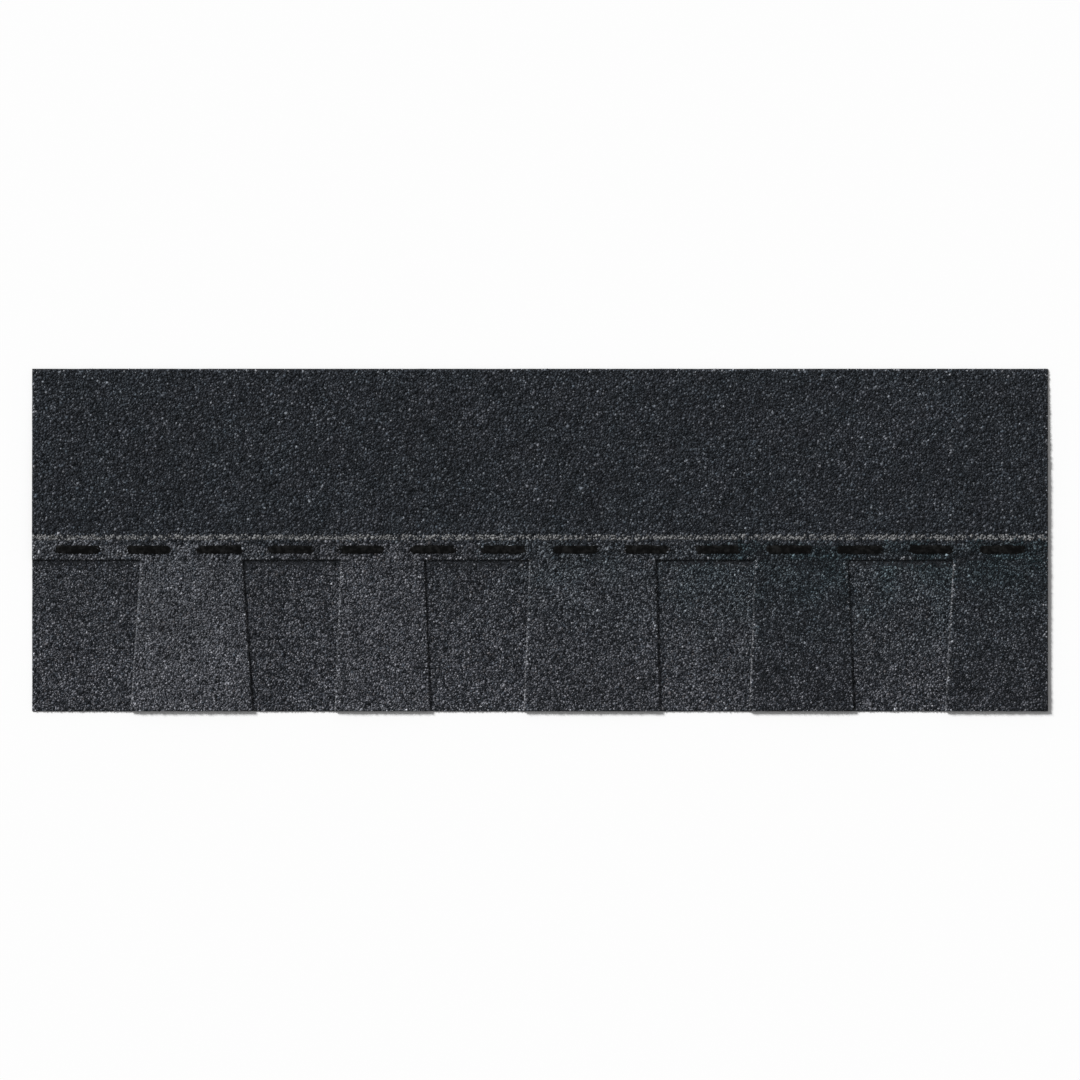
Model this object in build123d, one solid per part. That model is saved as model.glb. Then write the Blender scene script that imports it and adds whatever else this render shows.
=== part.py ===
# Laminated asphalt roof shingle, lying face up and unheld on a level floor.
# Two asphalt-coated mats surfaced with mineral granules are glued face to face: a tooth sheet,
# the full face of the shingle with flared tabs cut along its lower half, and a backer strip,
# which lies under the tabs and shows between them. Sealant dashes on the tooth sheet,
# above the cutouts, glue down the next course.
# +X runs along the course, +Y up the roof and +Z out of the weather face.
# The origin is the middle of the footprint, on the floor. Sizes are in millimetres.
import os

from build123d import *

# Sheet sizes
LENGTH = 1000.0  # along the course, end to end
HEIGHT = 337.0  # from the butt edge to the top edge
EXPOSURE = 143.0  # what stays in view once the next course is laid
ROOT_COVER = 6.0  # how far the cutouts run up under the next course
COMMON_BOND = 29.0  # band above the cutouts where the two layers lie glued together
SHEET_THICKNESS = 2.8  # tooth sheet, granules included
BACKER_THICKNESS = 2.6  # backer strip, granules included

# Tabs from left to right: the tab's width along the butt edge, how far its left and right sides
# lean in by the time they reach its root, and the cutout after it, along the butt edge.
# A cutout comes before the first tab. The end tab takes what is left of the length, cut square.
FIRST_CUTOUT = 97.0
TABS = [
    {"width": 120.0, "lean_left": 10.0, "lean_right": 10.0, "cutout": 81.0},
    {"width": 94.0, "lean_left": 6.0, "lean_right": 6.0, "cutout": 92.0},
    {"width": 134.0, "lean_left": 6.0, "lean_right": 4.0, "cutout": 88.0},
    {"width": 103.0, "lean_left": 6.0, "lean_right": 6.0, "cutout": 90.0},
]
END_TAB_LEAN = 8.0  # of the end tab's left side
ROOT_RADIUS = 2.0  # the cutting knife's corner at the root of a cutout
OVERCUT = 10.0  # how far a cutout's knife runs past the sheet's edges

# Sealant dashes
SEAL_DASH = 50.0  # length of one dash
SEAL_GAP = 20.0  # bare sheet between two dashes
SEAL_WIDTH = 10.0
SEAL_THICKNESS = 0.9
SEAL_SLOPE = 45.0  # lean of a dash's sides, in degrees
SEAL_SETBACK = 5.0  # from the root of the cutouts up to the dashes

# Levels up the roof and out of the face that the pieces share
BUTT = -HEIGHT / 2
ROOT = BUTT + EXPOSURE + ROOT_COVER
BACKER_TOP = ROOT + COMMON_BOND
TOP = HEIGHT / 2
LEFT_END = -LENGTH / 2
FACE = BACKER_THICKNESS + SHEET_THICKNESS


def sheet_section():
    """The tooth sheet seen from its end: flat over the backer, then sagging to the floor."""
    lie = Line((BUTT, BACKER_THICKNESS), (BACKER_TOP, BACKER_THICKNESS))
    sag = TangentArc((BACKER_TOP, BACKER_THICKNESS), (TOP, 0), tangent=(1, 0))
    up = Pos(0, SHEET_THICKNESS)
    ends = [Line(point, point + Vector(0, SHEET_THICKNESS)) for point in (lie @ 0, sag @ 1)]
    return make_face([lie, sag, up * lie, up * sag, *ends])


def cutout(left_foot, left_lean, right_foot, right_lean):
    """The knife for one cutout, whose sides spread by the leans between butt edge and root."""
    climb = ROOT - BUTT
    below = OVERCUT / climb
    outline = Polyline(
        (left_foot + left_lean * below, BUTT - OVERCUT),
        (left_foot - left_lean, ROOT),
        (right_foot + right_lean, ROOT),
        (right_foot - right_lean * below, BUTT - OVERCUT),
        close=True,
    )
    knife = make_face(outline)
    knife = fillet(knife.vertices().group_by(Axis.Y)[-1], ROOT_RADIUS)
    return extrude(knife, FACE + OVERCUT)


def cutouts():
    """Every cutout, each between the right side of one tab and the left side of the next."""
    knives = []
    left_foot, left_lean = LEFT_END - OVERCUT, 0.0
    right_foot = LEFT_END + FIRST_CUTOUT
    for tab in TABS:
        knives.append(cutout(left_foot, left_lean, right_foot, tab["lean_left"]))
        left_foot, left_lean = right_foot + tab["width"], tab["lean_right"]
        right_foot = left_foot + tab["cutout"]
    return [*knives, cutout(left_foot, left_lean, right_foot, END_TAB_LEAN)]


def make_tooth_sheet():
    section = Plane.YZ.offset(LEFT_END) * sheet_section()
    return extrude(section, LENGTH) - cutouts()


def make_backer_strip():
    size = (LENGTH, BACKER_TOP - BUTT, BACKER_THICKNESS)
    return Pos(LEFT_END, BUTT, 0) * Box(*size, align=(Align.MIN, Align.MIN, Align.MIN))


def make_seal_strip():
    """As many whole dashes as fit, with half a gap left at each end of the row."""
    pitch = SEAL_DASH + SEAL_GAP
    count = int(LENGTH // pitch)
    dash = extrude(SlotOverall(SEAL_DASH, SEAL_WIDTH), SEAL_THICKNESS, taper=SEAL_SLOPE)
    row = [Pos((i - (count - 1) / 2) * pitch) * dash for i in range(count)]
    return Pos(0, ROOT + SEAL_SETBACK + SEAL_WIDTH / 2, FACE) * Compound(row)


PIECES = {
    "tooth_sheet": make_tooth_sheet(),
    "backer_strip": make_backer_strip(),
    "seal_strip": make_seal_strip(),
}

os.makedirs("parts", exist_ok=True)
for name, piece in PIECES.items():
    export_step(piece, f"parts/{name}.step")
    print(name, len(piece.solids()), "solids", round(piece.volume), "mm3")
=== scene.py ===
import bpy
import numpy as np
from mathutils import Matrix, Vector


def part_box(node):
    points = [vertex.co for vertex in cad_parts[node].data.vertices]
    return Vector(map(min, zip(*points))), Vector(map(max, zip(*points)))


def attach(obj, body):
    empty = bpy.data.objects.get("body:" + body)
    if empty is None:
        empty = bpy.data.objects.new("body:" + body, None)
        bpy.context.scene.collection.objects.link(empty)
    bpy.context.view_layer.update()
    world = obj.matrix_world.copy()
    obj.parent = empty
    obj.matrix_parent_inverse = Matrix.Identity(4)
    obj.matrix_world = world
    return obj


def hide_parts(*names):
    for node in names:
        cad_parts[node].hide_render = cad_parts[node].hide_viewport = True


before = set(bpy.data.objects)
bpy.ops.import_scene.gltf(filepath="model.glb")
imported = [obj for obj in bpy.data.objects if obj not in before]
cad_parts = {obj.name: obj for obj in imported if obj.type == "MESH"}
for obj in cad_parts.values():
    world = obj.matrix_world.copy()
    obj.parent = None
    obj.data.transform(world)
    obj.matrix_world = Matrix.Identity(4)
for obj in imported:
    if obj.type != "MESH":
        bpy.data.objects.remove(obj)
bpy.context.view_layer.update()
mm = 0.001

# Seeds of the random draws. Every soft noise has a net of its own, and each field of granules takes three
# nets in a row, from the one named here. The sealant dashes draw from their own seed.
seeds = {
    "draws": 1143,
    "ripple": 5,
    "tabGranules": 11,
    "headlapGranules": 14,
    "windowGranules": 17,
    "dropEdge": 21,
    "sealant": 31,
    "paintedCutHighlight": 41,
}
rng = np.random.default_rng(seeds["draws"])

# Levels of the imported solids: ends along X, edges up the roof along Y, faces along Z
leftEnd, buttLine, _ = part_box("tooth_sheet")[0]
rightEnd, topLine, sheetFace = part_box("tooth_sheet")[1]
_, backerTop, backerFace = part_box("backer_strip")[1]
sheetThick = sheetFace - backerFace

# Tabs of the face sheet, left to right: width and the cutout after it along the butt edge, how far
# the sides lean in at the root, and the granule blend that was dropped there
tabs = {
    "length": 149 * mm,
    "firstCutout": 97 * mm,
    "width": np.array([120, 94, 134, 103]) * mm,
    "cutout": np.array([81, 92, 88, 90]) * mm,
    "leanLeft": np.array([10, 6, 6, 6, 8]) * mm,
    "leanRight": np.array([10, 6, 4, 6, 0]) * mm,
    "rootRadius": 2 * mm,
    "cornerRows": np.array([0.8, 0.6, 0.25, 0.1]),  # of the net at a root's corner, in radii below the root
    "blend": ["pale", "grey", "charcoal", "coal", "coal"],
}
rootLine = buttLine + tabs["length"]


def tabFeet():
    # Left and right foot of every tab on the butt edge: running sums of cutouts and widths. The last
    # tab runs to the end of the sheet.
    cutouts = np.append(tabs["firstCutout"], tabs["cutout"])
    left = leftEnd + np.cumsum(cutouts) + np.append(0, np.cumsum(tabs["width"]))
    right = np.append(left[:-1] + tabs["width"], rightEnd)
    return left, right


leftFoot, rightFoot = tabFeet()


def climbOf(y):
    # Height above the butt edge as a share of a tab's length, which stays 1 above the root
    return np.clip((y - buttLine) / tabs["length"], 0, 1)


def tabSides(y):
    # Where the left end and the tab sides stand at height y, one row for each y: a foot plus its lean in
    # proportion to the climb, and near the root a quarter circle that flares into the cutout
    climb = climbOf(y)[:, None]
    turn = np.clip((y - rootLine) / tabs["rootRadius"] + 1, 0, 1)[:, None]
    flare = tabs["rootRadius"] * (1 - np.sqrt(1 - turn**2))
    left = leftFoot + tabs["leanLeft"] * climb - flare
    right = rightFoot - tabs["leanRight"] * climb + flare
    right[:, -1] = rightEnd
    sides = np.stack([left, right], 2).reshape(len(y), -1)
    return np.hstack([np.full((len(y), 1), leftEnd), sides])


def sheetRing():
    # Corners of the face sheet, in order round it: down and up every tab, then along the top
    root = tabSides(np.array([rootLine - tabs["rootRadius"]]))[0, 1:].reshape(-1, 2)
    ring = [(leftEnd, rootLine)]
    for (rootLeft, rootRight), left, right in zip(root, leftFoot, rightFoot):
        ring += [(rootLeft, rootLine), (left, buttLine), (right, buttLine), (rootRight, rootLine)]
    ring[-1] = (rightEnd, topLine)
    return np.array(ring + [(leftEnd, topLine)])


def stripRing(low, high):
    # Corners of a strip from end to end between two heights
    return np.array([(leftEnd, low), (rightEnd, low), (rightEnd, high), (leftEnd, high)])


faceRing = sheetRing()
backerRing = stripRing(buttLine, backerTop)


def insideBy(x, y, ring):
    # Signed distance to a closed outline, positive inside: the least distance to its sides, with the
    # sign from the number of sides that a ray along +X crosses
    nearest = np.full(x.shape, np.inf)
    inside = np.zeros(x.shape, bool)
    for (ax, ay), (bx, by) in zip(ring, np.roll(ring, -1, 0)):
        wx, wy = bx - ax, by - ay
        along = np.clip(((x - ax) * wx + (y - ay) * wy) / (wx * wx + wy * wy), 0, 1)
        nearest = np.minimum(nearest, np.hypot(x - ax - along * wx, y - ay - along * wy))
        if wy:
            inside ^= ((ay > y) != (by > y)) & (x < ax + (y - ay) / wy * wx)
    return np.where(inside, nearest, -nearest)


def outwardOf(x, y, ring):
    # Unit direction to the nearest cut: against the slope of the distance to the outline
    step, least = 0.05 * mm, 1e-9
    slopeX = insideBy(x + step, y, ring) - insideBy(x - step, y, ring)
    slopeY = insideBy(x, y + step, ring) - insideBy(x, y - step, ring)
    return -np.stack([slopeX, slopeY], 1) / np.maximum(np.hypot(slopeX, slopeY), least)[:, None]


def softNoise(x, y, cell, seed):
    # Smooth noise from -1 to 1: random numbers on a square net of that cell, eased from one to the next
    size = 64
    net = np.random.default_rng(seed).uniform(-1, 1, (size, size))
    left, low = np.floor(x / cell).astype(int), np.floor(y / cell).astype(int)
    across, up = x / cell - left, y / cell - low
    across, up = across * across * (3 - 2 * across), up * up * (3 - 2 * up)
    left, low, right, high = left % size, low % size, (left + 1) % size, (low + 1) % size
    lower = net[left, low] * (1 - across) + net[right, low] * across
    upper = net[left, high] * (1 - across) + net[right, high] * across
    return lower * (1 - up) + upper * up


# Both coated mats, and the step of their nets
coat = {
    "bed": 0.55 * mm,  # how deep the granules lie in the asphalt
    "rimDrop": 0.8 * mm,  # wear of a cut rim
    "rimWidth": 1.3 * mm,
    "ripple": 0.08 * mm,
    "rippleCell": 60 * mm,
    "bareFade": 2 * mm,  # over which the backer dips from under the sheet into a cutout
    "wallBands": (0.25, 0.5, 0.75),  # levels of a cut wall's bands, as shares of its height
    "wallBulge": 0.15 * mm,
    "wallRagged": 0.10 * mm,
    "sharpAngle": 0.7,  # radians
    "dustReach": 0.7 * mm,  # of knife dust and painted highlight on the rims
    "wallDustAndHighlight": 0.6,  # dust and painted highlight on a wall, as a share of that on its rim
    "dullCut": 0.1,  # dust on a cut that doesn't face left, as a share of the dust and painted highlight on one that does
    "highlightMean": 0.8,  # how the painted highlight on a cut comes and goes
    "highlightSwing": 0.6,
    "highlightCell": 35 * mm,
    "nearCut": np.array([0.35, 0.9, 1.6, 3.0]) * mm,  # close steps beside a cut
    "step": 12 * mm,
}

# Release film, a thin strip under the backer, which lies on it
film = {"width": 25 * mm, "middle": rootLine + 10 * mm, "thick": 0.05 * mm, "rows": 5}


def paintedCutHighlight(x, y, ring):
    # Painted highlight on the nearest cut, from 0 to 1: as far as it faces left, towards the sun, coming and
    # # going along its length, and not at all at the left end of the sheet
    facing = np.clip(-outwardOf(x, y, ring)[:, 0], 0, 1)
    fading = coat["highlightMean"] + coat["highlightSwing"] * softNoise(x, y, coat["highlightCell"], seeds["paintedCutHighlight"])
    return np.where(x > leftEnd + coat["nearCut"][-1], facing * np.clip(fading, 0, 1), 0)


def sagLevel(y):
    # The sheet's underside: flat on the backer, then an arc, level there, down to the floor at the top edge
    reach = topLine - backerTop
    radius = (reach**2 + backerFace**2) / (2 * backerFace)
    return backerFace - radius + np.sqrt(radius**2 - np.clip(y - backerTop, 0, reach) ** 2)


def rimOf(inset):
    # How far a cut rim is worn down at that distance from the cut: a parabola over the rim's width
    return coat["rimDrop"] * (1 - np.clip(inset / coat["rimWidth"], 0, 1)) ** 2


def sheetTop(x, y, inset):
    # Asphalt of the face sheet between its granules: the sag, less the bed and the worn rim, with ripples
    ripple = coat["ripple"] * softNoise(x, y, coat["rippleCell"], seeds["ripple"])
    return sagLevel(y) + sheetThick - coat["bed"] - rimOf(inset) + ripple


def backerTopside(x, y, inset):
    # Asphalt of the backer: bedded and worn where a cutout bares it, and up against the sheet elsewhere
    bare = np.clip(0.5 - insideBy(x, y, faceRing) / coat["bareFade"], 0, 1)
    return backerFace - bare * (coat["bed"] + rimOf(inset))


def flatAt(level):
    # A top or an underside that is flat at that level
    return lambda *place: np.full(place[0].shape, level)


def stepsBetween(low, high):
    # Places from low to high: a few close steps near each cut, and even ones between
    first, last = low + coat["nearCut"], high - coat["nearCut"][::-1]
    count = max(2, int(round((last[0] - first[-1]) / coat["step"])))
    return np.concatenate([[low], first, np.linspace(first[-1], last[0], count + 1)[1:-1], last, [high]])


def makeMesh(name, points, corners, sizes):
    # A mesh from whole arrays: points, the corner list of all faces and how many corners each face has
    mesh = bpy.data.meshes.new(name)
    mesh.vertices.add(len(points))
    mesh.vertices.foreach_set("co", points.astype(np.float32).ravel())
    mesh.loops.add(len(corners))
    mesh.loops.foreach_set("vertex_index", corners.astype(np.int32))
    mesh.polygons.add(len(sizes))
    mesh.polygons.foreach_set("loop_start", (np.cumsum(sizes) - sizes).astype(np.int32))
    mesh.update(calc_edges=True)
    mesh.validate()
    return mesh


def makePiece(name, mesh, material, node=None):
    # A piece of the shingle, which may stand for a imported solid
    piece = bpy.data.objects.new(name, mesh)
    bpy.context.scene.collection.objects.link(piece)
    mesh.materials.append(material)
    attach(piece, "root")
    if node:
        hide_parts(node)
    print(name, len(mesh.polygons), "faces")


def addNumbers(mesh, name, values):
    # One number for each point, for a material to read
    mesh.attributes.new(name, "FLOAT", "POINT").data.foreach_set("value", values.astype(np.float32))


def cutSlab(name, x, y, kept, ring, topOf, underOf):
    # A slab cut from a sheet, on a net whose places are x and y and whose kept cells are there. The top and
    # the underside are two copies of the net. Where a kept cell has no neighbour, a wall of bands joins
    # them: straight levels between the two, pushed out by a bulge and a ragged draw.
    at = np.arange(x.size).reshape(x.shape)
    cells = np.stack([at[:-1, :-1], at[:-1, 1:], at[1:, 1:], at[1:, :-1]], 2)
    around = np.pad(kept, 1)
    beside = [around[:-2, 1:-1], around[1:-1, 2:], around[2:, 1:-1], around[1:-1, :-2]]
    rim = np.concatenate([cells[kept & ~b][:, [k, (k + 1) % 4]] for k, b in enumerate(beside)])
    used, face = np.unique(cells[kept], return_inverse=True)
    edge, rim = np.unique(rim, return_inverse=True)
    face, (here, there) = face.reshape(-1, 4), rim.reshape(-1, 2).T
    px, py = x.ravel()[used], y.ravel()[used]
    inset = np.maximum(insideBy(px, py, ring), 0)
    top = np.stack([px, py, topOf(px, py, inset)], 1)
    under = np.stack([px, py, underOf(py)], 1)
    atEdge = np.searchsorted(used, edge)
    outward = outwardOf(px[atEdge], py[atEdge], ring)
    inNet, inEdge = len(used), len(edge)
    points, depth = [top, under], [np.zeros(inNet), np.ones(inNet)]
    levels = [inNet + atEdge]
    for share in coat["wallBands"]:
        band = under[atEdge] * (1 - share) + top[atEdge] * share
        push = coat["wallBulge"] * np.sin(np.pi * share) + coat["wallRagged"] * rng.uniform(-1, 1, inEdge)
        band[:, :2] += outward * push[:, None]
        levels.append(2 * inNet + inEdge * (len(points) - 2) + np.arange(inEdge))
        points.append(band)
        depth.append(np.full(inEdge, 1 - share))
    levels.append(atEdge)
    walls = [np.stack([lo[here], lo[there], hi[there], hi[here]], 1) for lo, hi in zip(levels, levels[1:])]
    faces = np.concatenate([face, inNet + face[:, ::-1], *walls])
    mesh = makeMesh(name, np.concatenate(points), faces.ravel(), np.full(len(faces), 4))
    # Knife dust on every cut, with a painted highlight added on the cuts that face left
    lit = coat["dullCut"] + (1 - coat["dullCut"]) * paintedCutHighlight(px, py, ring)
    rimDustAndHighlight = np.exp(-inset / coat["dustReach"]) * lit
    wallDustAndHighlight = [coat["wallDustAndHighlight"] * lit[atEdge]] * len(coat["wallBands"])
    addNumbers(mesh, "wallDepth", np.concatenate(depth))
    addNumbers(mesh, "knifeDustAndHighlight", np.concatenate([rimDustAndHighlight, np.zeros(inNet), *wallDustAndHighlight]))
    mesh.polygons.foreach_set("use_smooth", np.ones(len(faces), bool))
    mesh.set_sharp_from_angle(angle=coat["sharpAngle"])
    return mesh


def newMaterial(name, look):
    # A material with its node tree and its shader, as rough and as bright in reflection as its look says
    material = bpy.data.materials.new(name)
    material.use_nodes = True
    shader = material.node_tree.nodes["Principled BSDF"]
    shader.inputs["Roughness"].default_value = look["roughness"]
    shader.inputs["Specular IOR Level"].default_value = look["specular"]
    return material, material.node_tree, shader


def ramp(tree, source, stops):
    # Colours by a number: stops are places with a grey or a colour
    node = tree.nodes.new("ShaderNodeValToRGB")
    while len(node.color_ramp.elements) < len(stops):
        node.color_ramp.elements.new(0.5)
    for element, (place, color) in zip(node.color_ramp.elements, stops):
        element.position = place
        element.color = (*np.broadcast_to(color, 3), 1)
    tree.links.new(source, node.inputs["Fac"])
    return node.outputs["Color"]


def mixed(tree, share, first, second):
    # The first colour where the share is 0, and the second where it is 1
    node = tree.nodes.new("ShaderNodeMix")
    node.data_type = "RGBA"
    for source, socket in zip((share, first, second), ("Factor_Float", "A_Color", "B_Color")):
        tree.links.new(source, next(s for s in node.inputs if s.identifier == socket))
    return next(s for s in node.outputs if s.identifier == "Result_Color")


def multiplied(tree, first, second):
    # One colour times the other
    node = tree.nodes.new("ShaderNodeVectorMath")
    node.operation = "MULTIPLY"
    tree.links.new(first, node.inputs[0])
    tree.links.new(second, node.inputs[1])
    return node.outputs[0]


def attribute(tree, name, output="Fac"):
    # What a mesh holds for each point under that name
    node = tree.nodes.new("ShaderNodeAttribute")
    node.attribute_name = name
    return node.outputs[output]


def noise(tree, scale, detail):
    # Cloudy noise from 0 to 1, with that many cells to a metre and that many finer layers
    coords = tree.nodes.new("ShaderNodeTexCoord")
    node = tree.nodes.new("ShaderNodeTexNoise")
    node.inputs["Scale"].default_value = scale
    node.inputs["Detail"].default_value = detail
    tree.links.new(coords.outputs["Object"], node.inputs["Vector"])
    return node.outputs["Fac"]


def bump(tree, shader, height, distance, strength):
    # Fine relief from a height between 0 and 1
    node = tree.nodes.new("ShaderNodeBump")
    node.inputs["Distance"].default_value = distance
    node.inputs["Strength"].default_value = strength
    tree.links.new(height, node.inputs["Height"])
    tree.links.new(node.outputs["Normal"], shader.inputs["Normal"])


# Looks of the finishes: a noise as its cells to a metre and its detail, a relief as its depth and strength,
# and a ramp as places with greys or colours. The mat's wall ramp runs down a cut, from rim to underside.
matLook = {
    "roughness": 0.85,
    "specular": 0.1,
    "grainCells": 1100,
    "grainRelief": (0.5 * mm, 0.6),
    "face": [(0, 0.005), (0.6, (0.011, 0.013, 0.016)), (1, (0.045, 0.048, 0.055))],
    "wall": [
        (0, 0.03),  # rim
        (0.2, 0.011),  # black asphalt
        (0.46, 0.011),
        (0.5, (0.07, 0.068, 0.062)),  # thread of glass mat
        (0.54, 0.011),
        (0.85, 0.011),
        (1, (0.045, 0.043, 0.040)),  # parting sand
    ],
    "faceToWall": [(0.1, 0), (0.35, 1)],
    "grit": [(0.3, 0.45), (0.7, 1.5)],
    "gritNoise": (900, 3),
    "specks": [(0, 0.6), (0.8, 1.0), (1, 2.5)],
    "clouds": [(0.3, 0.75), (0.7, 1.25)],
    "cloudNoise": (30, 3),
    # Pale knife dust, which on the left-facing rims is also a painted highlight
    "dust": [(0.42, 0.02), (0.5, 0.10), (0.6, (0.36, 0.37, 0.395))],
    "dustNoise": (420, 6),
}


def coatedMatMaterial():
    # Filled asphalt over glass mat: fine deep-bedded grains on the face, knife dust in dots on the rims with
    # a
    # # painted highlight where they face left, the mat's pale thread half way down a cut wall, and parting
    # sand on the underside
    material, tree, shader = newMaterial("coated_mat", matLook)
    coords = tree.nodes.new("ShaderNodeTexCoord")
    grains = tree.nodes.new("ShaderNodeTexVoronoi")
    grains.inputs["Scale"].default_value = matLook["grainCells"]
    tree.links.new(coords.outputs["Object"], grains.inputs["Vector"])
    grainTone = tree.nodes.new("ShaderNodeSeparateColor")
    tree.links.new(grains.outputs["Color"], grainTone.inputs["Color"])
    tone = grainTone.outputs[0]
    face = ramp(tree, tone, matLook["face"])
    depth = attribute(tree, "wallDepth")
    grit = ramp(tree, noise(tree, *matLook["gritNoise"]), matLook["grit"])
    specks = ramp(tree, tone, matLook["specks"])
    clouds = ramp(tree, noise(tree, *matLook["cloudNoise"]), matLook["clouds"])
    wall = ramp(tree, depth, matLook["wall"])
    for gain in (grit, specks, clouds):
        wall = multiplied(tree, wall, gain)
    color = mixed(tree, ramp(tree, depth, matLook["faceToWall"]), face, wall)
    # Knife dust and painted highlight, by the mesh's numbers
    dust = ramp(tree, noise(tree, *matLook["dustNoise"]), matLook["dust"])
    color = mixed(tree, attribute(tree, "knifeDustAndHighlight"), color, dust)
    tree.links.new(color, shader.inputs["Base Color"])
    bump(tree, shader, grains.outputs["Distance"], *matLook["grainRelief"])
    return material


granuleLook = {
    "roughness": 0.5,
    "specular": 0.1,
    "fleckNoise": (1900, 1),
    "flecks": [(0.3, 0.55), (0.7, 1.45)],
}


def granuleMaterial():
    # Ceramic-coated mineral: each grain has its own colour, with mineral flecks in it
    material, tree, shader = newMaterial("roofing_granules", granuleLook)
    flecks = ramp(tree, noise(tree, *granuleLook["fleckNoise"]), granuleLook["flecks"])
    color = multiplied(tree, attribute(tree, "grainColor", "Color"), flecks)
    tree.links.new(color, shader.inputs["Base Color"])
    return material


matFinish = coatedMatMaterial()
granuleFinish = granuleMaterial()
print("mat and granule materials made")


def sheetNet():
    # Columns follow the tab sides and go on straight above the root. Even spans between two sides are
    # cutouts, where only the cells above the root are kept.
    digits = 7  # rows that agree to so many decimals are one
    slack = 0.01 * mm  # a row so near the root is on it
    corner = rootLine - tabs["rootRadius"] * tabs["cornerRows"]
    rows = np.concatenate([stepsBetween(buttLine, rootLine), stepsBetween(rootLine, topLine), corner])
    rows = np.unique(np.round(rows, digits))
    sides = tabSides(rows)
    columns, inTab = [sides[:, :1]], []
    for k, (low, high) in enumerate(zip(sides[:, :-1].T, sides[:, 1:].T)):
        steps = stepsBetween(low[0], high[0])
        share = (steps[1:] - steps[0]) / (steps[-1] - steps[0])
        columns.append(low[:, None] + (high - low)[:, None] * share)
        inTab += [k % 2 == 1] * len(share)
    x = np.hstack(columns)
    y = np.repeat(rows[:, None], x.shape[1], 1)
    aboveRoot = (rows[:-1] > rootLine - slack)[:, None]
    return x, y, aboveRoot | np.array(inTab)


def stripNet(rows, crossings):
    # A plain strip from end to end, with close columns at the ends and at the given crossings
    spans = [stepsBetween(leftEnd, rightEnd), *(stepsBetween(low, high) for low, high in crossings)]
    x, y = np.meshgrid(np.unique(np.concatenate(spans)), rows)
    return x, y, np.ones((x.shape[0] - 1, x.shape[1] - 1), bool)


sheetMesh = cutSlab("face_sheet", *sheetNet(), faceRing, sheetTop, sagLevel)
makePiece("face_sheet", sheetMesh, matFinish, "tooth_sheet")

backerNet = stripNet(stepsBetween(buttLine, backerTop), zip(leftFoot, rightFoot))
backerMesh = cutSlab("backer", *backerNet, backerRing, backerTopside, flatAt(film["thick"]))
makePiece("backer", backerMesh, matFinish, "backer_strip")

# Granules of all fields: where they lie, their mineral colours and the blends that were dropped
granules = {
    "spacing": 1.32 * mm,  # on the tabs and in the cutouts
    "headlapSpacing": 1.65 * mm,
    "jitter": 0.42,  # of a place, in spacings
    "reach": 0.82,  # from a chip's middle to its corners, in spacings
    "sizeSpread": 0.22,
    "edgeGap": 0.15 * mm,  # least distance of a chip's middle from a cut
    "overhang": 0.4 * mm,  # of a chip past a cut
    "kinds": np.array([
        (0.0116, 0.0134, 0.0167),  # black
        (0.0328, 0.0360, 0.0434),  # dark slate
        (0.0857, 0.0900, 0.1038),  # slate
        (0.1606, 0.1650, 0.1843),  # pale
        (0.0697, 0.0800, 0.0962),  # blue grey
        (0.0909, 0.0860, 0.0906),  # brown
        (0.2959, 0.3000, 0.3279),  # bare stone
    ]),
    "blends": {  # the chance of each kind, in the order above
        "pale": (0.14, 0.10, 0.28, 0.39, 0.04, 0.01, 0.04),
        "grey": (0.20, 0.13, 0.27, 0.31, 0.05, 0.02, 0.02),
        "charcoal": (0.28, 0.18, 0.26, 0.21, 0.05, 0.01, 0.01),
        "coal": (0.44, 0.21, 0.23, 0.07, 0.05, 0.0, 0.0),
        "backer": (0.29, 0.19, 0.24, 0.20, 0.05, 0.02, 0.01),
        "headlap": (0.32, 0.50, 0.13, 0.02, 0.03, 0.0, 0.0),
    },
    # How much red a drop loses by the root, and with what power of the climb, in patches
    "teal": {"pale": 0.04, "grey": 0.01, "charcoal": 0.13, "coal": 0.30, "headlap": 0.08},
    "tealRise": 2,
    "tealMean": 0.6,
    "tealSwing": 0.4,
    "tealCell": 18 * mm,
    "paintedRootShade": 0.20,  # painted shade: how much a drop darkens by the root
    "paintedShadeRise": 4,  # of the painted shade, a power of the climb
    "dropRagged": 3 * mm,  # of the line where two drops meet
    "mottle": [(0.14, 14 * mm), (0.09, 45 * mm)],  # swings of a drop's tone, with their cells
    "luck": 0.18,  # spread of a grain's own tone
    "broken": 0.30,  # chance that the knife breaks a grain on a cut
    "brokenHighlight": 0.45,  # and what a painted highlight on a left-facing cut adds to it
    "dust": (0.270, 0.277, 0.297),  # pale inside of a broken grain
    "dustRange": (0.5, 1.2),
    "dustReach": 1.1 * mm,
}
blendNames = list(granules["blends"])
blendChance = np.cumsum(list(granules["blends"].values()), 1)
blendTeal = np.array([granules["teal"].get(b, 0) for b in blendNames])
tabBlend = np.array([blendNames.index(b) for b in tabs["blend"]])

# Shape of one chip. Spreads and offsets are shares of its reach, and lifts are shares of its height.
chip = {
    "height": 0.42,  # share of its reach, times a draw
    "heightRange": (0.65, 1.0),
    "peaked": 0.3,  # share of chips with a peak, the others have a flat tilted top
    "turnJitter": 0.22,  # of a corner, as a share of the angle to the next
    "cornerSpread": (0.75, 1.15),
    "tipOffset": 0.35,
    "peakedRim": (-0.35, 0.2),
    "flatRim": (0.35, 1.0),
    "peak": (0.75, 1.0),
    "root": (-0.9, -0.5),
    "mapReach": 0.32,  # in its square of the colour map
    "corners": {"coarse": 4, "fine": 3},
}


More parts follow.
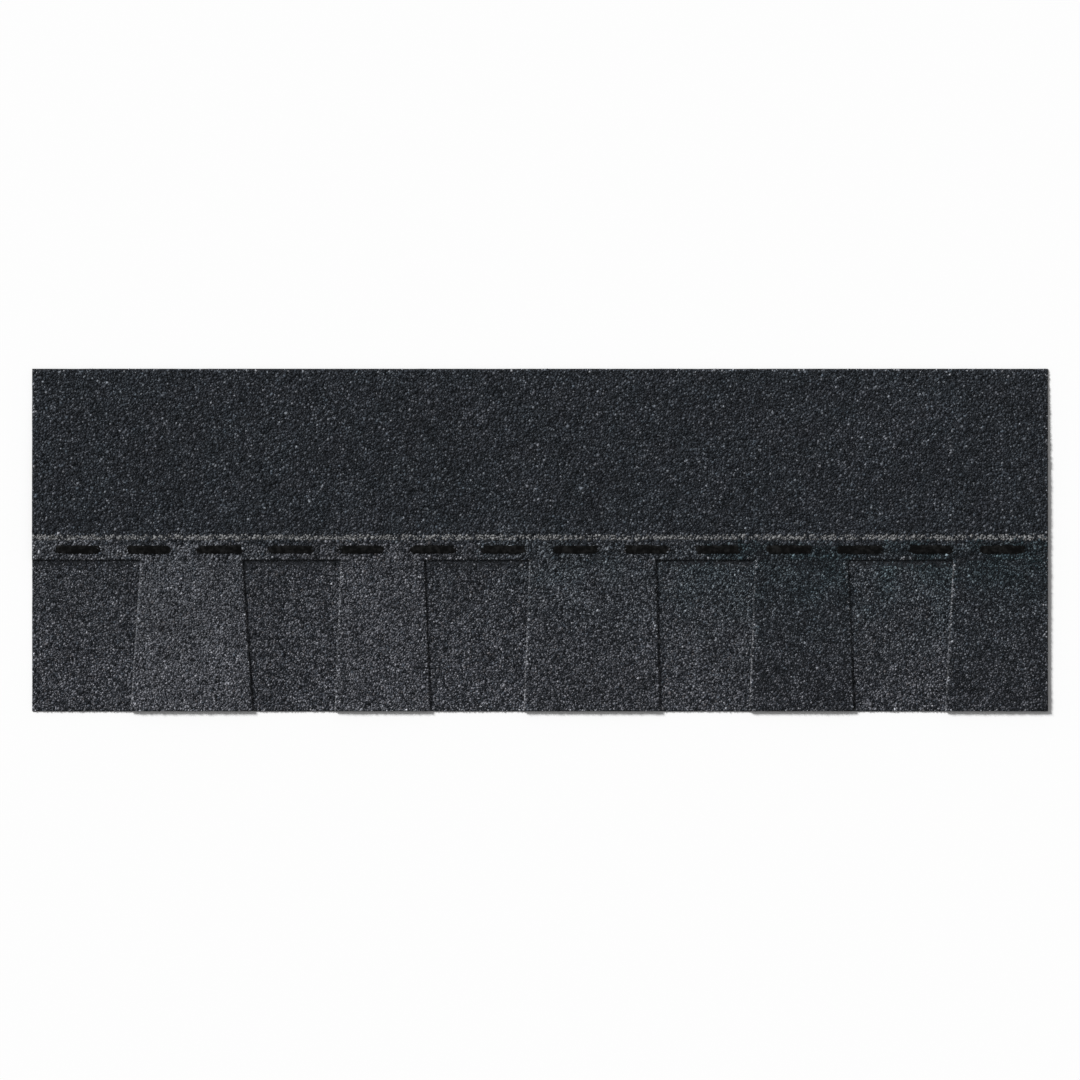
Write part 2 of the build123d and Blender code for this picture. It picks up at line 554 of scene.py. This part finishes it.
def grainPlaces(low, high, spacing):
    # Jittered places on a triangular net from end to end, between two heights: every other row is half a
    # spacing along, and the rows stand as far apart as an even triangle is high
    jitter = granules["jitter"]
    rowStep = spacing * np.sqrt(0.75)
    columns, rows = int((rightEnd - leftEnd) / spacing) + 2, int((high - low) / rowStep) + 2
    i, j = (n.ravel() for n in np.meshgrid(np.arange(columns), np.arange(rows)))
    x = leftEnd + (i + 0.5 * (j % 2) + rng.uniform(-jitter, jitter, len(i))) * spacing
    y = low + j * rowStep + rng.uniform(-jitter, jitter, len(j)) * spacing
    return x, y


def grainReach(spacing, inset):
    # How far a chip's corners stand from its middle: the mean times the exponential of a normal draw, and
    # never far past a cut
    reach = granules["reach"] * spacing * np.exp(rng.normal(0, granules["sizeSpread"], len(inset)))
    return np.minimum(reach, inset + granules["overhang"])


def grainMesh(name, x, y, z, reach, color, corners):
    # Crushed grains, each a closed chip. Its corners stand round its middle, about evenly apart. One more
    # point is a peak above them, or the root of a chip with a flat tilted top.
    count = len(x)
    apart = 2 * np.pi / corners
    jitter = chip["turnJitter"]
    turn = apart * (np.arange(corners) + rng.uniform(-jitter, jitter, (count, corners)))
    turn += rng.uniform(0, 2 * np.pi, (count, 1))
    spread = reach[:, None] * rng.uniform(*chip["cornerSpread"], (count, corners))
    height = reach * chip["height"] * rng.uniform(*chip["heightRange"], count)
    peaked = rng.random(count) < chip["peaked"]
    peakedRim = rng.uniform(*chip["peakedRim"], (count, corners))
    flatRim = rng.uniform(*chip["flatRim"], (count, corners))
    rimLift = np.where(peaked[:, None], peakedRim, flatRim)
    tipLift = np.where(peaked, rng.uniform(*chip["peak"], count), rng.uniform(*chip["root"], count))
    points = np.empty((count, corners + 1, 3))
    points[:, :-1, 0] = x[:, None] + spread * np.cos(turn)
    points[:, :-1, 1] = y[:, None] + spread * np.sin(turn)
    points[:, :-1, 2] = z[:, None] + rimLift * height[:, None]
    points[:, -1, 0] = x + reach * rng.uniform(-chip["tipOffset"], chip["tipOffset"], count)
    points[:, -1, 1] = y + reach * rng.uniform(-chip["tipOffset"], chip["tipOffset"], count)
    points[:, -1, 2] = z + tipLift * height
    rim = np.arange(corners)
    sides = np.stack([rim, (rim + 1) % corners, np.full(corners, corners)], 1)
    base = np.stack([0 * rim[2:], rim[2:], rim[1:-1]], 1)
    peakFaces = np.concatenate([sides, base])
    flatFaces = peakFaces[:, ::-1]
    faces = np.where(peaked[:, None, None], peakFaces, flatFaces)
    faces = (faces + (corners + 1) * np.arange(count)[:, None, None]).reshape(-1, 3)
    mesh = makeMesh(name, points.reshape(-1, 3), faces.ravel(), np.full(len(faces), 3))
    rgba = np.ones((count, corners + 1, 4), np.float32)
    rgba[:, :, :3] = color[:, None, :]
    mesh.color_attributes.new("grainColor", "FLOAT_COLOR", "POINT").data.foreach_set("color", rgba.ravel())
    # Every chip has a small square of the colour map to itself, with its peak or root in the middle
    across = int(np.ceil(np.sqrt(count)))
    square = np.stack([np.arange(count) % across, np.arange(count) // across], 1)
    spoke = 0.5 + chip["mapReach"] * np.stack([np.cos(apart * rim), np.sin(apart * rim)], 1)
    spoke = np.append(spoke, [(0.5, 0.5)], 0)
    place = ((square[:, None, :] + spoke) / across).reshape(-1, 2)[faces.ravel()]
    mesh.uv_layers.new(name="OFBake").uv.foreach_set("vector", place.astype(np.float32).ravel())
    return mesh


def layGrains(name, x, y, z, reach, color):
    # Granules sieved into two pieces by size: the coarser half, then the finer half
    coarse = reach > np.median(reach)
    for grade, part in (("coarse", coarse), ("fine", ~coarse)):
        piece = f"{name}_{grade}"
        corners = chip["corners"][grade]
        mesh = grainMesh(piece, x[part], y[part], z[part], reach[part], color[part], corners)
        makePiece(piece, mesh, granuleFinish)


def mottled(x, y, seed):
    # Gain of a blend that was dropped unevenly: one plus soft noise, finer times wider
    gain = np.ones(len(x))
    for k, (share, cell) in enumerate(granules["mottle"]):
        gain *= 1 + share * softNoise(x, y, cell, seed + k)
    return gain


def grainColor(x, y, blend, teal, seed, paintedShade):
    # One colour for each grain: a kind drawn by its blend's chances, times a little luck, the drop's
    # # unevenness and its painted shade, with less red towards the root, in soft patches, where it leans to
    # teal
    kind = (rng.random(len(blend))[:, None] > blendChance[blend]).sum(1)
    kind = np.minimum(kind, len(granules["kinds"]) - 1)
    luck = np.exp(rng.normal(0, granules["luck"], len(blend)))
    color = granules["kinds"][kind] * (paintedShade * luck * mottled(x, y, seed))[:, None]
    net = seed + len(granules["mottle"])
    patches = granules["tealMean"] + granules["tealSwing"] * softNoise(x, y, granules["tealCell"], net)
    color[:, 0] *= 1 - teal * climbOf(y) ** granules["tealRise"] * patches
    return color


def dropOf(x):
    # The blend dropped at x: the drops meet half way across the cutouts, a little raggedly
    meeting = (rightFoot[:-1] + leftFoot[1:]) / 2
    return tabBlend[np.searchsorted(meeting, x + rng.normal(0, granules["dropRagged"], len(x)))]


def breakRims(color, x, y, inset, ring):
    # Grains that the knife broke show their pale inside as well as their own colour. The chance fades away
    # # from the cut, and is greatest on a cut that faces left, where the pale grains are a painted
    # highlight.
    # More broken grains where the cut has painted highlight
    chance = granules["broken"] + granules["brokenHighlight"] * paintedCutHighlight(x, y, ring)
    broken = rng.random(len(x)) < chance * np.exp(-inset / granules["dustReach"])
    color[broken] += np.array(granules["dust"]) * rng.uniform(*granules["dustRange"], (broken.sum(), 1))


def layTabGranules():
    # Below the roots, each tab with its own blend, with painted shade that darkens it by a power of the
    # climb
    x, y = grainPlaces(buttLine, rootLine, granules["spacing"])
    inset = insideBy(x, y, faceRing)
    keep = (inset > granules["edgeGap"]) & (y < rootLine)
    x, y, inset = x[keep], y[keep], inset[keep]
    blend = dropOf(x)
    # Painted shade, darker towards the root
    paintedShade = 1 - granules["paintedRootShade"] * climbOf(y) ** granules["paintedShadeRise"]
    color = grainColor(x, y, blend, blendTeal[blend], seeds["tabGranules"], paintedShade)
    breakRims(color, x, y, inset, faceRing)
    reach = grainReach(granules["spacing"], inset)
    layGrains("tab_granules", x, y, sheetTop(x, y, inset), reach, color)


layTabGranules()

# Headlap: heights above the root of the tabs' drops, the painted nail line and the split between two pieces
headlap = {
    "dropEnd": 17 * mm,
    "dropWave": 5 * mm,
    "dropCell": 40 * mm,
    "dropRagged": 2.5 * mm,
    "nailLine": 22 * mm,
    "nailWidth": 5 * mm,
    "paint": (0.23, 0.235, 0.24),
    "paintRange": (0.6, 1.1),
    "painted": 0.72,  # share of the grains on the line
    "split": 95 * mm,
}


def layHeadlapGranules():
    # Above the roots, coarser and darker: the tabs' drops run on up to a wavering edge, with the painted
    # shade
    # # they have at the root, and a share of the grains along the nail line is painted
    x, y = grainPlaces(rootLine, topLine, granules["headlapSpacing"])
    inset = insideBy(x, y, faceRing)
    keep = (inset > granules["edgeGap"]) & (y >= rootLine)
    x, y, inset = x[keep], y[keep], inset[keep]
    above = y - rootLine
    wave = headlap["dropWave"] * softNoise(x, 0 * y, headlap["dropCell"], seeds["dropEdge"])
    inDrop = above < headlap["dropEnd"] + wave + rng.normal(0, headlap["dropRagged"], len(x))
    blend = np.where(inDrop, dropOf(x), blendNames.index("headlap"))
    # Painted shade: the drops above the root keep the darkness they have at the root
    paintedShade = np.where(inDrop, 1 - granules["paintedRootShade"], 1)
    color = grainColor(x, y, blend, blendTeal[blend], seeds["headlapGranules"], paintedShade)
    breakRims(color, x, y, inset, faceRing)
    onLine = np.abs(above - headlap["nailLine"]) < headlap["nailWidth"] / 2
    painted = onLine & (rng.random(len(x)) < headlap["painted"])
    color[painted] = np.array(headlap["paint"]) * rng.uniform(*headlap["paintRange"], (painted.sum(), 1))
    reach = grainReach(granules["headlapSpacing"], inset)
    z = sheetTop(x, y, inset)
    lower = above < headlap["split"]
    for name, part in (("headlap_granules_lower", lower), ("headlap_granules_upper", ~lower)):
        layGrains(name, x[part], y[part], z[part], reach[part], color[part])


layHeadlapGranules()

# Windows, where the cutouts bare the backer: how far its granules run in under the sheet, and their gain at
# the foot and the root, darker towards the root: partly a band of darker granules, partly painted shade
window = {"under": 1.5 * mm, "paintedFootShade": 1.10, "paintedRootShade": 0.86}


def layWindowGranules():
    # On the backer, in one blend that darkens in proportion to the climb, partly as a band of darker
    # granules and
    # # partly as painted shade, and leans to teal as much as the drops beside it: from tab middle to tab
    # middle
    x, y = grainPlaces(buttLine, rootLine + window["under"], granules["spacing"])
    inset = insideBy(x, y, backerRing)
    keep = (insideBy(x, y, faceRing) < window["under"]) & (inset > granules["edgeGap"])
    x, y, inset = x[keep], y[keep], inset[keep]
    blend = np.full(len(x), blendNames.index("backer"))
    teal = np.interp(x, (leftFoot + rightFoot) / 2, blendTeal[tabBlend])
    # Darker towards the root: a band of darker granules with painted shade in it
    paintedShade = window["paintedFootShade"] + (window["paintedRootShade"] - window["paintedFootShade"]) * climbOf(y)
    color = grainColor(x, y, blend, teal, seeds["windowGranules"], paintedShade)
    breakRims(color, x, y, inset, backerRing)
    reach = grainReach(granules["spacing"], inset)
    layGrains("window_granules", x, y, backerTopside(x, y, inset), reach, color)


layWindowGranules()

# Sealant: dashes squeezed on in a row above the roots, and their finish
seal = {
    "dash": 50 * mm,
    "gap": 20 * mm,
    "steps": 56,
    "rings": 9,
    "ringCrowd": 1.6,  # above 1, the rings crowd towards the rim
    "crown": 0.02,  # size of the last ring, as a share of the rim
    "slim": 0.95,  # mean width of a dash, as a share of the solid's
    "waver": 0.05,
    "knots": 14,
    "endTurn": 3,  # how soon the round ends turn into the straight sides
    "fullness": 0.7,  # below 1, the ends are blunter than half circles
    "uneven": 0.06,
    "unevenCell": 6 * mm,
    "sunk": 0.1 * mm,
}
sealantLook = {
    "roughness": 0.3,
    "specular": 0.02,
    "wearNoise": (260, 4),
    "tone": [(0.45, 0.003), (0.75, 0.014)],
    "gloss": [(0.35, 0.25), (0.75, 0.48)],
    "lumpNoise": (320, 2),
    "lumpRelief": (0.8 * mm, 0.35),
}
sealLow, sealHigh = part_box("seal_strip")


def sealantMaterial():
    # Polymer bitumen: black and half glossy, duller where dust has settled
    material, tree, shader = newMaterial("seal_bitumen", sealantLook)
    wear = noise(tree, *sealantLook["wearNoise"])
    tree.links.new(ramp(tree, wear, sealantLook["tone"]), shader.inputs["Base Color"])
    tree.links.new(ramp(tree, wear, sealantLook["gloss"]), shader.inputs["Roughness"])
    bump(tree, shader, noise(tree, *sealantLook["lumpNoise"]), *sealantLook["lumpRelief"])
    return material


def sealDash(middleX, source):
    # One dash on a net of ring and angle. Its rim is a stadium, two half circles held apart, that wavers a
    # little. The rings shrink towards the middle, and the height over them is a lumpy dome: one less
    # the cube of a ring's share of the rim.
    halfWidth = (sealHigh[1] - sealLow[1]) / 2
    angle = np.linspace(0, 2 * np.pi, seal["steps"], endpoint=False)
    knots = source.uniform(-1, 1, seal["knots"])
    waver = np.interp(angle, np.linspace(0, 2 * np.pi, seal["knots"] + 1), np.append(knots, knots[0]))
    waver = seal["slim"] * (1 + seal["waver"] * waver)
    apart = np.clip(seal["endTurn"] * np.cos(angle), -1, 1) * (seal["dash"] / 2 - halfWidth)
    rimX = apart + halfWidth * np.cos(angle) * waver
    rimY = halfWidth * np.sign(np.sin(angle)) * np.abs(np.sin(angle)) ** seal["fullness"] * waver
    share = 1 - (1 - seal["crown"]) * np.linspace(0, 1, seal["rings"])[:, None] ** seal["ringCrowd"]
    x = middleX + share * rimX
    y = (sealHigh[1] + sealLow[1]) / 2 + share * rimY
    base = sheetFace - coat["bed"] - seal["sunk"]
    dome = (1 - share**3) * (sealHigh[2] - base)
    lumps = softNoise(x, y, seal["unevenCell"], seeds["sealant"])
    return np.stack([x, y, base + dome * (1 - seal["uneven"] + seal["uneven"] * lumps)], 2)


def sealMesh():
    # All dashes in one mesh: quads between the rings, and a closing face at the crown and at the foot
    pitch = seal["dash"] + seal["gap"]
    count = int(round((sealHigh[0] - sealLow[0] + seal["gap"]) / pitch))
    middles = (sealLow[0] + sealHigh[0]) / 2 + (np.arange(count) - (count - 1) / 2) * pitch
    source = np.random.default_rng(seeds["sealant"])
    points = np.concatenate([sealDash(m, source).reshape(-1, 3) for m in middles])
    rings, steps = seal["rings"], seal["steps"]
    start = rings * steps * np.arange(count)[:, None]
    i, j = (n.ravel() for n in np.meshgrid(np.arange(rings - 1) * steps, np.arange(steps)))
    k = (j + 1) % steps
    sides = np.stack([i + j, i + k, i + steps + k, i + steps + j], 1).ravel() + start
    crown = (rings - 1) * steps + np.arange(steps) + start
    foot = np.arange(steps)[::-1] + start
    sizes = np.repeat([4, steps], [sides.size // 4, 2 * count])
    corners = np.concatenate([n.ravel() for n in (sides, crown, foot)])
    mesh = makeMesh("seal_dashes", points, corners, sizes)
    mesh.polygons.foreach_set("use_smooth", np.ones(len(sizes), bool))
    return mesh


makePiece("seal_dashes", sealMesh(), sealantMaterial(), "seal_strip")

filmLook = {
    "roughness": 0.2,
    "specular": 0.4,
    "hazeNoise": (120, 4),
    "tone": [(0.35, 0.014), (0.7, (0.035, 0.036, 0.038))],
    "gloss": [(0.35, 0.14), (0.7, 0.34)],
    "wrinkleNoise": (150, 8),
    "wrinkleRelief": (0.6 * mm, 0.7),
}


def filmMaterial():
    # Thin clear release film over the black asphalt: glossy, hazed and finely wrinkled
    material, tree, shader = newMaterial("release_film", filmLook)
    haze = noise(tree, *filmLook["hazeNoise"])
    tree.links.new(ramp(tree, haze, filmLook["tone"]), shader.inputs["Base Color"])
    tree.links.new(ramp(tree, haze, filmLook["gloss"]), shader.inputs["Roughness"])
    bump(tree, shader, noise(tree, *filmLook["wrinkleNoise"]), *filmLook["wrinkleRelief"])
    return material


# The film keeps stacked shingles from sticking together
filmRows = film["middle"] + film["width"] * np.linspace(-0.5, 0.5, film["rows"])
filmRing = stripRing(filmRows[0], filmRows[-1])
filmMesh = cutSlab("release_film", *stripNet(filmRows, []), filmRing, flatAt(film["thick"]), flatAt(0.0))
makePiece("release_film", filmMesh, filmMaterial())

# Floor, light and camera: a white floor, a sun from the upper left, and a camera straight above
floorLook = {"grey": 0.98, "roughness": 0.9, "specular": 0.0}
studio = {
    "floorReach": 12.0,
    "floorDrop": 0.05 * mm,
    "key": 3.85,  # strength of the sun
    "keyFrom": (-0.62, 0.52, 0.62),
    "keySpread": 0.30,  # radians
    "fill": 0.26,  # strength of the world
    "distance": 7.0,
    "fillFrame": 0.94,  # share of the picture's width that the sheet takes
    "sensor": 36,
    "clipEnd": 50,
}


def makeFloor():
    # A square just under the shingle
    material, _, shader = newMaterial("studio_floor", floorLook)
    shader.inputs["Base Color"].default_value = (*np.full(3, floorLook["grey"]), 1)
    corners = np.array([(-1, -1, 0), (1, -1, 0), (1, 1, 0), (-1, 1, 0)]) * studio["floorReach"]
    mesh = makeMesh("floor", corners - (0, 0, studio["floorDrop"]), np.arange(4), np.array([4]))
    mesh.materials.append(material)
    floor = bpy.data.objects.new("floor", mesh)
    bpy.context.scene.collection.objects.link(floor)


def makeLight():
    # A sun, and a world that fills softly but shows white to the camera, in gloss and through glass
    key = bpy.data.lights.new("key", "SUN")
    key.energy = studio["key"]
    key.angle = studio["keySpread"]
    lamp = bpy.data.objects.new("key", key)
    lamp.rotation_euler = Vector(studio["keyFrom"]).to_track_quat("Z", "Y").to_euler()
    bpy.context.scene.collection.objects.link(lamp)
    world = bpy.data.worlds.new("studio")
    bpy.context.scene.world = world
    world.use_nodes = True
    tree = world.node_tree
    white = tree.nodes["Background"]
    white.inputs["Color"].default_value = (1, 1, 1, 1)
    fill = tree.nodes.new("ShaderNodeBackground")
    fill.inputs["Color"].default_value = (1, 1, 1, 1)
    fill.inputs["Strength"].default_value = studio["fill"]
    path = tree.nodes.new("ShaderNodeLightPath")
    seen = path.outputs["Is Camera Ray"]
    for ray in ("Is Glossy Ray", "Is Transmission Ray"):
        either = tree.nodes.new("ShaderNodeMath")
        either.operation = "MAXIMUM"
        tree.links.new(seen, either.inputs[0])
        tree.links.new(path.outputs[ray], either.inputs[1])
        seen = either.outputs[0]
    mix = tree.nodes.new("ShaderNodeMixShader")
    for k, source in enumerate((seen, fill.outputs[0], white.outputs[0])):
        tree.links.new(source, mix.inputs[k])
    tree.links.new(mix.outputs[0], tree.nodes["World Output"].inputs["Surface"])


def makeCamera():
    # Straight down on the middle of the sheet, with +Y up in the picture
    camera = bpy.data.cameras.new("camera")
    camera.sensor_width = studio["sensor"]
    camera.lens = camera.sensor_width * studio["distance"] * studio["fillFrame"] / (rightEnd - leftEnd)
    camera.clip_end = studio["clipEnd"]
    holder = bpy.data.objects.new("camera", camera)
    holder.location = (0, (buttLine + topLine) / 2, studio["distance"])
    bpy.context.scene.collection.objects.link(holder)
    bpy.context.scene.camera = holder


makeFloor()
makeLight()
makeCamera()
bpy.context.scene.view_settings.view_transform = "Standard"
print("floor, light and camera made")
